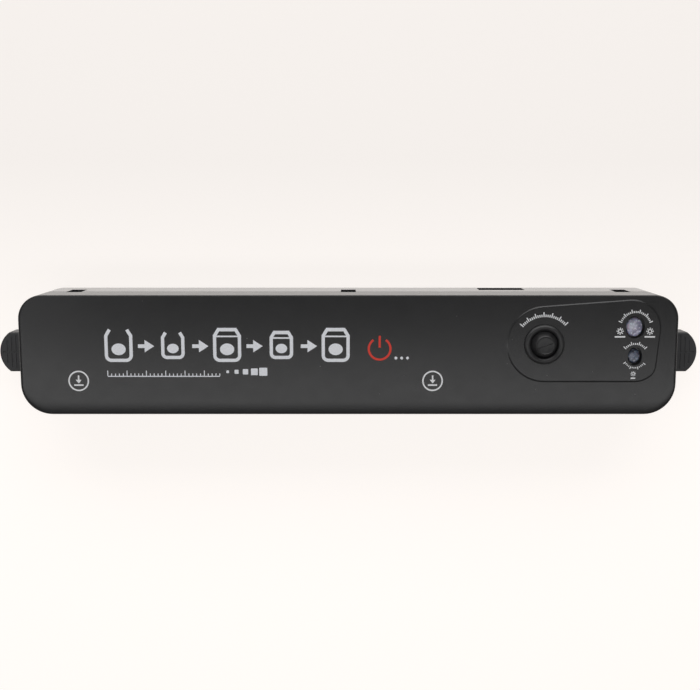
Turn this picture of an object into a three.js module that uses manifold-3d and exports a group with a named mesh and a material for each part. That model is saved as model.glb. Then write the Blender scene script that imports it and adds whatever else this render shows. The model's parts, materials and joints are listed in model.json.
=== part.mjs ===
// Bar-shaped kitchen vacuum sealer: base with pump and heater, hinged lid, latch ears, valve, buttons.
// Millimetres. +X runs right along the lid, +Y towards the hinge, +Z up. The origin is on the table,
// under the middle of the base.
import * as THREE from 'three';
import { mergeVertices } from 'three/addons/utils/BufferGeometryUtils.js';
import Module from 'manifold-3d';

const wasm = await Module();
wasm.setup();

// Driving dimensions
const HALF_LENGTH = 170;
const HALF_DEPTH = 31.15;
const REAR_CORNER = 12.5;
const FRONT_CORNER = 16;
const WALL = 2;
const GAP = 0.3;
const BASE_BOTTOM = 2;
const PARTING = 26;
const FACE = 47;
const FACE_FILLET = 1;
const DECK_TOP = 24.8;
const DECK_BOTTOM = 22.8;
const PLATEAU_RISE = 0.4;
const COVER_BOTTOM = 2.3;
const COVER_TOP = 4.3;

// Hinge along the rear edge
const HINGE_Y = 26;
const HINGE_Z = 20;
const HINGE_XS = [-145.5, 0, 145.5];
const SLOT_WIDTH = 8;
const ARM_WIDTH = 7.4;
const EYE_RADIUS = 3.5;
const PIN_RADIUS = 1.25;
const SWING_CLEARANCE = 8.25;
const ARM_OUTER_Y = 29.4;

// Vacuum chamber trough, and the duct from its end to the pump bay
const TROUGH = { x0: -146.4, x1: 116, y: 12, floor: 17 };
const TROUGH_CORNER = 5;
const TROUGH_WALL = 5.5;
const GASKET_INNER = 1.3;
const GASKET_WIDTH = 3.4;
const DUCT = { y: 6, z: 19.6, radius: 1.8 };

// Heat seal along the front edge: a channel in the base, and a pad in the lid above it
const HEATER = { halfLength: 150.5, y0: -27, y1: -20, floor: 21 };
const SEAL_HALF_LENGTH = 147;
const PAD_CARRIER = { halfLength: 152, y0: -27.6, y1: -19.6, z: 29.4 };

// Tower over the pump bay, which carries the buttons
const TOWER = { x0: 124, x1: 155.5, y0: -12, y1: 25.7, top: 44.5 };

// Release ears
const EAR_X = 175.1;
const EAR_Y = -2;
const EAR_RADIUS = 13.2;
const EAR_HALF_WIDTH = 10.7;
const EAR_BOTTOM = 8.3;
const EAR_TOP = 22.3;
const EAR_INNER_X = 160.5;
const SPRING_STOP = { x: 150.5, thickness: 1.5, z: 11 };
const SPRING_Z = 15;
const EAR_FLANGE = { x0: 163.4, x1: 165.6, halfWidth: 12.6 };
const HOOK = { x0: 160.6, x1: 162.6, tip: 163.2, halfWidth: 4, noseZ: 29, top: 31 };
const HOOK_SLOT = { x0: 156.2, x1: 163.6 };
const LID_CATCH = { x: 166.1, half: 2.6, z0: 26.6, z1: 28.4 };

// Controls on the lid
const VALVE = { x: 101, y: 5.75 };
const VACUUM_BUTTON = { x: 147.7, y: 14.6, holeX: 4.85, holeY: 5.85, lensX: 4.2, lensY: 5 };
const SEAL_BUTTON = { x: 148, y: -0.55, holeX: 3.5, holeY: 4.7, lensX: 3.05, lensY: 3.8 };
const BUTTON_BOTTOM = 40.8;
const BUTTON_TOP = 45.4;
const BOARD_Z = 34;
const BOARD_THICKNESS = 1.6;

// Lid's inner plate, held by screws into bosses
const INNER_PLATE = { z0: 27.5, z1: 31 };
const BOSS_PLACES = [[-138, 7], [-138, -7], [62, 7], [62, -7]];

// Fixings of the base
const COVER_SCREWS = [[-150, -22], [150, -22], [-150, 14], [112, 24]];
const FEET = { front_left: [-130, -22], front_right: [130, -22], rear_left: [-130, 22], rear_right: [130, 20] };

// Mains inlet in a pocket of the rear wall, and the lid switch
const INLET = { x0: 71, x1: 95, front: 17.8, bottom: 4.6, neckBottom: 5.5, top: 17 };
const SWITCH = { x: -158, y: 20 };

// Main board, and the height of the parts that stand on it
const MAIN_BOARD = { x0: -120, x1: 62, y0: -10, y1: 27, z: 6, thickness: 1.6 };
const BOARD_PART_TOP = 21;

// Pump
const PUMP_X = 139.5;
const PUMP_Z = 17.5;
const MOTOR_RADIUS = 11;
const MOTOR_FRONT = 4;
const MOTOR_BACK = 21.9;

const materials = {
  case_black: { color: 0x1c1c1e, roughness: 0.6, metalness: 0 },
  ear_black: { color: 0x161617, roughness: 0.55, metalness: 0 },
  rubber: { color: 0x202021, roughness: 0.8, metalness: 0 },
  gasket: { color: 0x9aa0a3, roughness: 0.85, metalness: 0 },
  lens_violet: { color: 0x8d8aa8, roughness: 0.3, metalness: 0 },
  lens_blue: { color: 0x3c4658, roughness: 0.3, metalness: 0 },
  steel: { color: 0xa8abb0, roughness: 0.35, metalness: 1 },
  brass: { color: 0xb08d4a, roughness: 0.35, metalness: 1 },
  board: { color: 0x1f5a34, roughness: 0.5, metalness: 0 },
  tape: { color: 0xb79a6a, roughness: 0.6, metalness: 0 },
  dark_part: { color: 0x26282b, roughness: 0.5, metalness: 0 },
  pale_part: { color: 0xd9d6cc, roughness: 0.5, metalness: 0 },
};

const vacuumSealer = new THREE.Group();
const lid = new THREE.Group();
vacuumSealer.add(lid);

// Solids from three.js geometry, and meshes from solids

function solidOf(geometry) {
  const bare = geometry.clone();
  bare.deleteAttribute('normal');
  bare.deleteAttribute('uv');
  const merged = mergeVertices(bare, 1e-4);
  return new wasm.Manifold(new wasm.Mesh({
    numProp: 3,
    vertProperties: new Float32Array(merged.attributes.position.array),
    triVerts: new Uint32Array(merged.index.array),
  }));
}

function meshOf(name, solid, materialName) {
  const data = solid.getMesh();
  const geometry = new THREE.BufferGeometry();
  geometry.setAttribute('position', new THREE.BufferAttribute(new Float32Array(data.vertProperties), 3));
  geometry.setIndex(new THREE.BufferAttribute(new Uint32Array(data.triVerts), 1));
  geometry.computeVertexNormals();
  const mesh = new THREE.Mesh(geometry, new THREE.MeshStandardMaterial(materials[materialName]));
  mesh.name = name;
  return mesh;
}

function place(parent, name, solid, materialName, x = 0, y = 0, z = 0, turn = 0) {
  const mesh = meshOf(name, solid, materialName);
  mesh.position.set(x, y, z);
  mesh.rotation.z = turn;
  parent.add(mesh);
  return mesh;
}

function join(...solids) {
  return solids.reduce((whole, next) => whole.add(next));
}

function cut(solid, ...tools) {
  return tools.reduce((whole, tool) => whole.subtract(tool), solid);
}

function box(x0, x1, y0, y1, z0, z1) {
  const geometry = new THREE.BoxGeometry(x1 - x0, y1 - y0, z1 - z0);
  geometry.translate((x0 + x1) / 2, (y0 + y1) / 2, (z0 + z1) / 2);
  return solidOf(geometry);
}

function rodZ(x, y, z0, z1, radius, sides = 16, topRadius = radius) {
  const geometry = new THREE.CylinderGeometry(topRadius, radius, z1 - z0, sides);
  geometry.rotateX(Math.PI / 2);
  geometry.translate(x, y, (z0 + z1) / 2);
  return solidOf(geometry);
}

function rodX(x0, x1, y, z, radius, sides = 16) {
  const geometry = new THREE.CylinderGeometry(radius, radius, x1 - x0, sides);
  geometry.rotateZ(-Math.PI / 2);
  geometry.translate((x0 + x1) / 2, y, z);
  return solidOf(geometry);
}

function rodY(x, y0, y1, z, radius, sides = 16) {
  const geometry = new THREE.CylinderGeometry(radius, radius, y1 - y0, sides);
  geometry.translate(x, (y0 + y1) / 2, z);
  return solidOf(geometry);
}

function prism(shape, z0, z1, curveSegments = 4, fillet = 0) {
  const geometry = new THREE.ExtrudeGeometry(shape, {
    depth: z1 - z0 - 2 * fillet,
    bevelEnabled: fillet > 0,
    bevelThickness: fillet,
    bevelSize: fillet,
    bevelOffset: -fillet,
    bevelSegments: 2,
    curveSegments,
  });
  geometry.translate(0, 0, z0 + fillet);
  return solidOf(geometry);
}

function sweep(points, shape, steps) {
  const path = new THREE.CatmullRomCurve3(points);
  const geometry = new THREE.ExtrudeGeometry(shape, {
    steps,
    extrudePath: path,
    bevelEnabled: false,
    curveSegments: 4,
  });
  return solidOf(geometry);
}

function lathe(profile, sides) {
  const geometry = new THREE.LatheGeometry(profile.map(([r, z]) => new THREE.Vector2(r, z)), sides);
  geometry.rotateX(Math.PI / 2);
  return solidOf(geometry);
}

// Outlines

function roundedOutline(x0, x1, y0, y1, frontRadius, rearRadius = frontRadius) {
  const quarter = Math.PI / 2;
  const shape = new THREE.Shape();
  shape.moveTo(x0 + frontRadius, y0);
  shape.absarc(x1 - frontRadius, y0 + frontRadius, frontRadius, -quarter, 0);
  shape.absarc(x1 - rearRadius, y1 - rearRadius, rearRadius, 0, quarter);
  shape.absarc(x0 + rearRadius, y1 - rearRadius, rearRadius, quarter, 2 * quarter);
  shape.absarc(x0 + frontRadius, y0 + frontRadius, frontRadius, 2 * quarter, 3 * quarter);
  return shape;
}

function caseOutline(inset) {
  return roundedOutline(
    -HALF_LENGTH + inset, HALF_LENGTH - inset, -HALF_DEPTH + inset, HALF_DEPTH - inset,
    FRONT_CORNER - inset, REAR_CORNER - inset,
  );
}

function ovalOutline(x, y, radiusX, radiusY) {
  return new THREE.Shape().absellipse(x, y, radiusX, radiusY, 0, 2 * Math.PI);
}

function circleOutline(radius) {
  return new THREE.Shape().absarc(0, 0, radius, 0, 2 * Math.PI);
}

// An outline that follows the trough at a distance outside it
function troughOutline(offset, cornerRadius) {
  return roundedOutline(
    TROUGH.x0 - offset, TROUGH.x1 + offset, -TROUGH.y - offset, TROUGH.y + offset, cornerRadius,
  );
}

function troughRing(innerOffset, width, z0, z1) {
  return cut(
    prism(troughOutline(innerOffset + width, TROUGH_CORNER + width), z0, z1, 2),
    prism(troughOutline(innerOffset, TROUGH_CORNER), z0 - 1, z1 + 1, 2),
  );
}

// The raised control plateau: round about the valve, sloping up to the far corner
function plateauOutline() {
  const left = 19.5;
  const right = 160.7;
  const lowerRight = 158.9;
  const low = -13.7;
  const shape = new THREE.Shape();
  shape.absarc(VALVE.x + 0.5, low + left, left, 1.5 * Math.PI, 0.52 * Math.PI, true);
  shape.lineTo(144.6, 28.4);
  shape.quadraticCurveTo(right, 28.8, right, 13);
  shape.lineTo(lowerRight, low + 9);
  shape.quadraticCurveTo(lowerRight - 0.5, low, lowerRight - 12, low);
  return shape;
}

// Base

function hingePocket(x) {
  return box(x - SLOT_WIDTH / 2, x + SLOT_WIDTH / 2, 22.1, HALF_DEPTH + 1, HINGE_Z - 5, PARTING + 1);
}

function hingeCheeks(x) {
  const inner = SLOT_WIDTH / 2 - 0.1;
  const outer = SLOT_WIDTH / 2 + 3;
  return [
    box(x - outer, x - inner, 22.4, HALF_DEPTH - WALL + 0.1, HINGE_Z - 4, DECK_BOTTOM + 0.1),
    box(x + inner, x + outer, 22.4, HALF_DEPTH - WALL + 0.1, HINGE_Z - 4, DECK_BOTTOM + 0.1),
  ];
}

function earOpening(side) {
  const x0 = side > 0 ? HALF_LENGTH - WALL - 2 : -HALF_LENGTH - 1;
  const half = EAR_HALF_WIDTH + 0.4;
  return box(x0, x0 + WALL + 3, EAR_Y - half, EAR_Y + half, EAR_BOTTOM - 0.4, EAR_TOP + 0.4);
}

function hookSlot(side) {
  const x0 = side > 0 ? HOOK_SLOT.x0 : -HOOK_SLOT.x1;
  const half = HOOK.halfWidth + 2 * GAP;
  return box(x0, x0 + HOOK_SLOT.x1 - HOOK_SLOT.x0, EAR_Y - half, EAR_Y + half, DECK_BOTTOM - 1, PARTING + 1);
}

function springStop(side) {
  const x0 = side > 0 ? SPRING_STOP.x : -SPRING_STOP.x - SPRING_STOP.thickness;
  return box(x0, x0 + SPRING_STOP.thickness, HEATER.y1, EAR_Y + 3, SPRING_STOP.z, DECK_BOTTOM + 0.1);
}

function atEach(places, z0, z1, radius, sides) {
  return places.map(([x, y]) => rodZ(x, y, z0, z1, radius, sides));
}

function baseHousing() {
  const shell = cut(
    prism(caseOutline(0), BASE_BOTTOM, PARTING),
    prism(caseOutline(WALL), BASE_BOTTOM - 1, DECK_BOTTOM),
    prism(caseOutline(WALL), DECK_TOP, PARTING + 1),
  );
  const tower = prism(roundedOutline(TOWER.x0, TOWER.x1, TOWER.y0, TOWER.y1, 3), DECK_BOTTOM, TOWER.top, 2);
  const towerInner = roundedOutline(TOWER.x0 + WALL, TOWER.x1 - WALL, TOWER.y0 + WALL, TOWER.y1 - WALL, 2);
  const heaterEnd = HEATER.halfLength + 1.5;
  const body = join(
    shell,
    prism(troughOutline(TROUGH_WALL, 8), TROUGH.floor - WALL, DECK_TOP, 2),
    box(-heaterEnd, heaterEnd, HEATER.y0 - 0.8, HEATER.y1 + 0.8, HEATER.floor - WALL, DECK_TOP),
    tower,
    springStop(1),
    springStop(-1),
    ...atEach(COVER_SCREWS, COVER_TOP + GAP, DECK_BOTTOM + 0.1, 3.2, 12),
    ...HINGE_XS.flatMap(hingeCheeks),
  );
  return cut(
    body,
    prism(troughOutline(0, TROUGH_CORNER), TROUGH.floor, PARTING, 2),
    troughRing(GASKET_INNER - GAP, GASKET_WIDTH + 2 * GAP, DECK_BOTTOM - 1.3, PARTING),
    box(-HEATER.halfLength, HEATER.halfLength, HEATER.y0, HEATER.y1, HEATER.floor, PARTING),
    prism(towerInner, DECK_BOTTOM - 3, TOWER.top - WALL, 2),
    ...[VACUUM_BUTTON, SEAL_BUTTON].map((button) => prism(
      ovalOutline(button.x, button.y, button.lensX + GAP, button.lensY + GAP), 40, 46, 10,
    )),
    rodX(TROUGH.x1 - 1, TOWER.x0 - 1, DUCT.y, DUCT.z, DUCT.radius, 12),
    earOpening(1),
    earOpening(-1),
    hookSlot(1),
    hookSlot(-1),
    ...HINGE_XS.map(hingePocket),
    ...HINGE_XS.map((x) => rodX(x - 8, x + 8, HINGE_Y, HINGE_Z, PIN_RADIUS + GAP, 12)),
    box(INLET.x0 - GAP, INLET.x1 + GAP, 28, HALF_DEPTH + 1, INLET.neckBottom - GAP, INLET.top + GAP),
    rodZ(SWITCH.x, SWITCH.y, DECK_BOTTOM - 1, PARTING, 1.9, 12),
    ...[-145, 145].map((x) => box(x - 1.5, x + 1.5, -25, -22, 18, 22)),
    ...atEach(COVER_SCREWS, BASE_BOTTOM, 14, 1.5, 10),
  );
}

// A plate with posts under the main board and a row of vents under the pump
function bottomCover() {
  const ventCount = 7;
  const vents = [];
  for (let i = 0; i < ventCount; i += 1) {
    vents.push(box(122 + i * 5, 124.4 + i * 5, -10, 8, COVER_BOTTOM - 1, COVER_TOP + 1));
  }
  const posts = [[-95, -6], [-95, 20], [45, -6], [45, 20]];
  const plate = prism(caseOutline(WALL + GAP), COVER_BOTTOM, COVER_TOP);
  return cut(
    join(plate, ...atEach(posts, COVER_TOP - 0.1, MAIN_BOARD.z - GAP, 2.2, 10)),
    ...vents,
    ...atEach(COVER_SCREWS, COVER_BOTTOM - 1, COVER_TOP + 1, 1.6, 12),
    ...atEach(COVER_SCREWS, COVER_BOTTOM - 1, COVER_BOTTOM + 1.2, 3.1, 12),
  );
}

function buildBase() {
  place(vacuumSealer, 'base_housing', baseHousing(), 'case_black');
  place(vacuumSealer, 'bottom_cover', bottomCover(), 'case_black');
  const foot = lathe([[0, 0], [5, 0], [5.5, 0.5], [5.5, BASE_BOTTOM], [0, BASE_BOTTOM]], 16);
  for (const [corner, [x, y]] of Object.entries(FEET)) {
    place(vacuumSealer, `foot_${corner}`, foot, 'rubber', x, y);
  }
  const screw = lathe([[0, -0.9], [2.7, -0.9], [2.7, 0], [1.2, 0], [1.2, 6], [0, 6]], 12);
  COVER_SCREWS.forEach(([x, y], i) => {
    place(vacuumSealer, `cover_screw_${i + 1}`, screw, 'steel', x, y, COVER_BOTTOM + 1.2 - GAP);
  });
  HINGE_XS.forEach((x, i) => {
    const pin = rodX(-7.2, 7.2, 0, 0, PIN_RADIUS, 12);
    place(vacuumSealer, `hinge_pin_${i + 1}`, pin, 'steel', x, HINGE_Y, HINGE_Z);
  });
}

// Chamber gasket and heater

function buildSealing() {
  const gasket = troughRing(GASKET_INNER, GASKET_WIDTH, DECK_BOTTOM - 1, 25.6);
  place(vacuumSealer, 'lower_gasket', gasket, 'gasket');
  const barEnd = HEATER.halfLength - GAP;
  const bar = box(-barEnd, barEnd, HEATER.y0 + GAP, HEATER.y1 - GAP, HEATER.floor + GAP, 24.6);
  place(vacuumSealer, 'heater_bar', bar, 'pale_part');
  const stripEnd = SEAL_HALF_LENGTH + 0.5;
  place(vacuumSealer, 'heater_strip', box(-stripEnd, stripEnd, -24.7, -22.3, 24.9, 25.2), 'steel');
  const tape = box(-SEAL_HALF_LENGTH, SEAL_HALF_LENGTH, HEATER.y0 + 0.5, HEATER.y1 - 0.5, 25.5, 25.8);
  place(vacuumSealer, 'ptfe_tape', tape, 'tape');
  for (const [side, sign] of [['left', -1], ['right', 1]]) {
    const terminal = join(box(-1.1, 1.1, -25.3, -21.7, 24.9, 25.3), rodZ(0, -23.5, 25.2, 25.9, 0.8, 10));
    place(vacuumSealer, `heater_terminal_${side}`, terminal, 'brass', sign * (stripEnd + 1.5));
  }
}

// Pump in its bay under the tower

function buildPump() {
  const can = cut(
    rodY(0, 0, MOTOR_BACK - MOTOR_FRONT, 0, MOTOR_RADIUS, 24),
    rodY(0, 1.5, 30, 0, MOTOR_RADIUS - 1.2, 20),
    rodY(0, -1, 2, 0, 1.4, 10),
  );
  place(vacuumSealer, 'motor_can', can, 'steel', PUMP_X, MOTOR_FRONT, PUMP_Z);
  const cap = rodY(0, 0, 1.6, 0, MOTOR_RADIUS - 1.6, 20);
  place(vacuumSealer, 'motor_end_cap', cap, 'dark_part', PUMP_X, MOTOR_BACK - 1.7, PUMP_Z);
  const rotor = join(
    rodY(0, 3, 14, 0, 8.6, 16),
    rodY(0, -6.5, 4, 0, 1, 10),
    rodY(0, -6, -3, 0, 4, 16),
    rodY(2.4, -8.5, -5.9, 0, 1, 10),
  );
  place(vacuumSealer, 'motor_rotor', rotor, 'steel', PUMP_X, MOTOR_FRONT, PUMP_Z);
  const head = cut(
    box(-10, 10, -9.6, 0.5, -10, 10),
    box(-7, 7, -7.6, 1, -7, 7),
    rodZ(0, -4.4, 6, 11, 4.2, 16),
  );
  const nozzle = cut(rodX(-12.2, -9.9, -6.5, -7.5, 1.5, 10), rodX(-14, -8, -6.5, -7.5, 0.8, 8));
  place(vacuumSealer, 'pump_head', join(head, nozzle), 'dark_part', PUMP_X, 0, PUMP_Z);
  const diaphragm = lathe([[0, 0], [3.9, 0], [3.9, 1], [2.8, 1.6], [0, 1.6]], 16);
  place(vacuumSealer, 'pump_diaphragm', diaphragm, 'rubber', PUMP_X, -4.4, PUMP_Z + 7.6);
  const nipple = cut(
    rodX(TROUGH.x1 + 0.5, 122.8, DUCT.y, DUCT.z, DUCT.radius - GAP, 10),
    rodX(110, 130, DUCT.y, DUCT.z, 0.8, 8),
  );
  place(vacuumSealer, 'chamber_nipple', nipple, 'brass');
  const ring = circleOutline(2.3);
  ring.holes.push(circleOutline(1.8));
  const hose = sweep([
    new THREE.Vector3(122, DUCT.y, DUCT.z),
    new THREE.Vector3(124.2, 6, 19.3),
    new THREE.Vector3(125.2, 2.6, 13.4),
    new THREE.Vector3(124.6, -4, 9.4),
    new THREE.Vector3(126.4, -6.5, 9.9),
    new THREE.Vector3(128.6, -6.5, 10),
  ], ring, 14);
  place(vacuumSealer, 'air_hose', hose, 'rubber');
}

// Main board under the trough, with its tall parts behind the trough

function buildElectronics() {
  const boardTop = MAIN_BOARD.z + MAIN_BOARD.thickness;
  const { x0, x1, y0, y1, z } = MAIN_BOARD;
  place(vacuumSealer, 'main_board', box(x0, x1, y0, y1, z, boardTop), 'board');
  const foot = boardTop + GAP;
  const fins = [19.5, 22, 24.5].map((y) => box(25, 45, y, y + 1.4, 11, BOARD_PART_TOP + 1));
  const parts = [
    ['transformer', box(-70, -44, 18, 28, foot, BOARD_PART_TOP + 0.5), 'dark_part'],
    ['relay', box(-38, -20, 18, 28, foot, BOARD_PART_TOP), 'pale_part'],
    ['capacitor', rodZ(16, 22.5, foot, BOARD_PART_TOP, 4.8, 16), 'dark_part'],
    ['heatsink', cut(box(26, 44, 18, 28, foot, BOARD_PART_TOP), ...fins), 'steel'],
  ];
  for (const [name, solid, materialName] of parts) {
    place(vacuumSealer, name, solid, materialName);
  }
  const socketFront = INLET.front + 2.2;
  const behindWall = HALF_DEPTH - WALL - GAP;
  const inlet = cut(
    join(
      box(INLET.x0, INLET.x1, INLET.front, behindWall, INLET.bottom, INLET.top),
      box(INLET.x0, INLET.x1, behindWall - 1, HALF_DEPTH - 0.9, INLET.neckBottom, INLET.top),
    ),
    box(INLET.x0 + 4, INLET.x1 - 4, socketFront, HALF_DEPTH, INLET.bottom + 2.4, INLET.top - 2.4),
  );
  place(vacuumSealer, 'mains_inlet', inlet, 'dark_part');
  for (const [side, x] of [['left', -4], ['right', 4]]) {
    const pinX = (INLET.x0 + INLET.x1) / 2 + x;
    const pinZ = (INLET.bottom + INLET.top) / 2;
    place(vacuumSealer, `inlet_pin_${side}`, rodY(pinX, socketFront + GAP, 28, pinZ, 1.2, 10), 'steel');
  }
  const lidSwitch = box(SWITCH.x - 5, SWITCH.x + 3, SWITCH.y - 3, SWITCH.y + 3, 12, 19);
  place(vacuumSealer, 'lid_switch', lidSwitch, 'dark_part');
  const plunger = lathe([
    [0, -2.4], [2.8, -2.4], [2.8, -0.7], [1.6, -0.7], [1.6, 2.4], [1.2, 2.8], [0, 2.8],
  ], 12);
  place(vacuumSealer, 'lid_plunger', plunger, 'pale_part', SWITCH.x, SWITCH.y, DECK_BOTTOM + 0.4);
}

// Buttons with their board under the tower's top

function buttonSolid(button) {
  const edge = 0.45;
  return join(
    prism(ovalOutline(0, 0, button.lensX, button.lensY), BUTTON_BOTTOM, BUTTON_TOP, 8, edge),
    prism(ovalOutline(0, 0, button.lensX + 1, button.lensY + 1), BUTTON_BOTTOM, BUTTON_BOTTOM + 1.3, 8),
  );
}

function buildButtons() {
  const board = box(TOWER.x0 + 3, TOWER.x1 - 2.5, -9, 23, BOARD_Z, BOARD_Z + BOARD_THICKNESS);
  place(vacuumSealer, 'button_board', board, 'board');
  for (const [name, button, lens] of [
    ['vacuum', VACUUM_BUTTON, 'lens_violet'],
    ['seal', SEAL_BUTTON, 'lens_blue'],
  ]) {
    const top = BOARD_Z + BOARD_THICKNESS + GAP;
    const tact = join(box(-3.6, 0.6, -2.2, 2.2, 0, 2.4), rodZ(-1.5, 0, 2.3, 3.2, 1.4, 10));
    place(vacuumSealer, `${name}_tact_switch`, tact, 'dark_part', button.x, button.y, top);
    const led = lathe([[0, 0], [1.4, 0], [1.4, 2], [0.9, 2.9], [0, 3.2]], 10);
    place(vacuumSealer, `${name}_led`, led, 'pale_part', button.x + 2.5, button.y, top);
    place(vacuumSealer, `${name}_button`, buttonSolid(button), lens, button.x, button.y);
  }
}

// Release ears, each with its hook and coil spring

function earSolid() {
  const reach = Math.sqrt(EAR_RADIUS ** 2 - EAR_HALF_WIDTH ** 2);
  const angle = Math.atan2(EAR_HALF_WIDTH, reach);
  const inner = EAR_INNER_X - EAR_X;
  const shape = new THREE.Shape();
  shape.moveTo(inner, -EAR_HALF_WIDTH);
  shape.lineTo(reach, -EAR_HALF_WIDTH);
  shape.absarc(0, 0, EAR_RADIUS, -angle, angle);
  shape.lineTo(inner, EAR_HALF_WIDTH);
  const slab = (x0, x1, half, z0, z1) => box(x0 - EAR_X, x1 - EAR_X, -half, half, z0, z1);
  return join(
    prism(shape, EAR_BOTTOM, EAR_TOP, 6, 0.8),
    slab(EAR_FLANGE.x0, EAR_FLANGE.x1, EAR_FLANGE.halfWidth, EAR_BOTTOM, EAR_TOP - 0.2),
    slab(HOOK.x0, HOOK.x1, HOOK.halfWidth, EAR_TOP - 1, HOOK.top),
    slab(HOOK.x1 - 0.1, HOOK.tip, HOOK.halfWidth, HOOK.noseZ, HOOK.top),
  );
}

function coilSpring(length, radius, wire, turns) {
  const steps = turns * 9;
  const points = [];
  for (let i = 0; i <= steps; i += 1) {
    const angle = (2 * Math.PI * i) / 9;
    const along = wire + ((length - 2 * wire) * i) / steps;
    points.push(new THREE.Vector3(along, radius * Math.cos(angle), radius * Math.sin(angle)));
  }
  const section = new THREE.Shape([0, 1, 2, 3, 4].map((k) => new THREE.Vector2(
    wire * Math.cos(k * 0.4 * Math.PI), wire * Math.sin(k * 0.4 * Math.PI),
  )));
  return sweep(points, section, steps);
}

function buildEars() {
  const ear = earSolid();
  const start = SPRING_STOP.x + SPRING_STOP.thickness + GAP;
  const spring = coilSpring(EAR_INNER_X - GAP - start, 3, 0.35, 4);
  for (const [side, sign] of [['left', -1], ['right', 1]]) {
    const turn = sign < 0 ? Math.PI : 0;
    place(vacuumSealer, `${side}_release_ear`, ear, 'ear_black', sign * EAR_X, EAR_Y, 0, turn);
    place(vacuumSealer, `${side}_ear_spring`, spring, 'steel', sign * start, EAR_Y, SPRING_Z, turn);
  }
}

// Lid

function hingeArm(x) {
  const half = ARM_WIDTH / 2;
  return cut(
    join(
      rodX(x - half, x + half, HINGE_Y, HINGE_Z, EYE_RADIUS, 20),
      box(x - half, x + half, HINGE_Y + 0.2, ARM_OUTER_Y, HINGE_Z, PARTING + 8),
    ),
    rodX(x - 5, x + 5, HINGE_Y, HINGE_Z, PIN_RADIUS + GAP, 12),
  );
}

function lidShell() {
  const outer = cut(
    prism(caseOutline(0), PARTING - 3, FACE, 4, FACE_FILLET),
    box(-200, 200, -50, 50, PARTING - 5, PARTING + GAP),
  );
  const shell = cut(
    outer,
    prism(caseOutline(WALL), PARTING - 1, FACE - WALL),
    rodX(-200, 200, HINGE_Y, HINGE_Z, SWING_CLEARANCE, 32),
  );
  const roof = FACE - WALL + 0.1;
  const catches = [-LID_CATCH.x, LID_CATCH.x].map((x) => box(
    x - LID_CATCH.half, x + LID_CATCH.half, EAR_Y - HOOK.halfWidth, EAR_Y + HOOK.halfWidth,
    LID_CATCH.z0, LID_CATCH.z1,
  ));
  const switchRib = box(SWITCH.x - 1, SWITCH.x + 1, SWITCH.y - 3, SWITCH.y + 1.6, 26.6, roof);
  const { halfLength, y0, y1, z } = PAD_CARRIER;
  const padCarrier = cut(
    box(-halfLength, halfLength, y0, y1, z, roof),
    box(1.5 - halfLength, halfLength - 1.5, y0 + 1.5, y1 - 1.5, z - 1, roof - 0.05),
  );
  const body = join(
    shell,
    ...atEach(BOSS_PLACES, INNER_PLATE.z1 + GAP, roof, 3.2, 12),
    ...catches,
    switchRib,
    padCarrier,
    prism(plateauOutline(), FACE - 1.4, FACE + PLATEAU_RISE, 6),
    ...HINGE_XS.map(hingeArm),
  );
  return cut(
    body,
    ...atEach(BOSS_PLACES, 30, 41, 1.5, 10),
    rodZ(VALVE.x, VALVE.y, FACE - WALL - 1, FACE + 2, 8.2, 28),
    ...[VACUUM_BUTTON, SEAL_BUTTON].map((button) => prism(
      ovalOutline(button.x, button.y, button.holeX, button.holeY), 44, 49, 12,
    )),
  );
}

function lidInnerPlate() {
  return cut(
    prism(troughOutline(TROUGH_WALL, 8), INNER_PLATE.z0, INNER_PLATE.z1, 2),
    troughRing(GASKET_INNER - GAP, GASKET_WIDTH + 2 * GAP, INNER_PLATE.z0 - 0.5, 28.9),
    ...atEach(BOSS_PLACES, 20, 40, 1.5, 12),
    rodZ(VALVE.x, VALVE.y, 20, 40, 2.8, 16),
  );
}

function valveKnob() {
  return lathe([
    [0, 27.2], [2.4, 27.2], [2.4, 43.6], [6.9, 43.8], [6.9, 47.4],
    [5.2, 49.6], [4.9, 51], [4.6, 51.5], [0, 51.5],
  ], 28);
}

function buildLid() {
  place(lid, 'lid_shell', lidShell(), 'case_black');
  place(lid, 'lid_inner_plate', lidInnerPlate(), 'case_black');
  place(lid, 'upper_gasket', troughRing(GASKET_INNER, GASKET_WIDTH, 25.9, 28.6), 'gasket');
  const pad = box(-SEAL_HALF_LENGTH, SEAL_HALF_LENGTH, -26.4, -20.8, 26.2, PAD_CARRIER.z - GAP);
  place(lid, 'sealing_pad', pad, 'gasket');
  const ring = lathe([[7.9, 0], [10.2, 0], [10.2, 0.7], [9.6, 1.3], [8.3, 1.3], [7.9, 0.9], [7.9, 0]], 32);
  place(lid, 'valve_ring', ring, 'rubber', VALVE.x, VALVE.y, FACE + PLATEAU_RISE + GAP);
  place(lid, 'valve_knob', valveKnob(), 'rubber', VALVE.x, VALVE.y);
  const seal = lathe([[0, 0], [4.4, 0], [4.4, 1.2], [3.6, 1.6], [0, 1.6]], 16);
  place(lid, 'valve_seal', seal, 'gasket', VALVE.x, VALVE.y, 25.3);
  const spring = coilSpring(43.6 - INNER_PLATE.z1 - 2 * GAP, 4.2, 0.4, 4);
  const valveSpring = place(lid, 'valve_spring', spring, 'steel', VALVE.x, VALVE.y, INNER_PLATE.z1 + GAP);
  valveSpring.rotation.y = -Math.PI / 2;
  const screw = lathe([[0, 0], [2.6, 0], [2.6, 1.1], [1.2, 1.1], [1.2, 12], [0, 12]], 12);
  BOSS_PLACES.forEach(([x, y], i) => {
    place(lid, `lid_screw_${i + 1}`, screw, 'steel', x, y, 26.1);
  });
}

buildBase();
buildSealing();
buildPump();
buildElectronics();
buildButtons();
buildEars();
buildLid();

export default vacuumSealer;
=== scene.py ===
"""Looks of a bar-shaped vacuum sealer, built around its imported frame.

Sizes are in millimetres until a mesh is made. +X runs right along the lid, +Y to the hinge, +Z up.
"""
import json
import math

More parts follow.
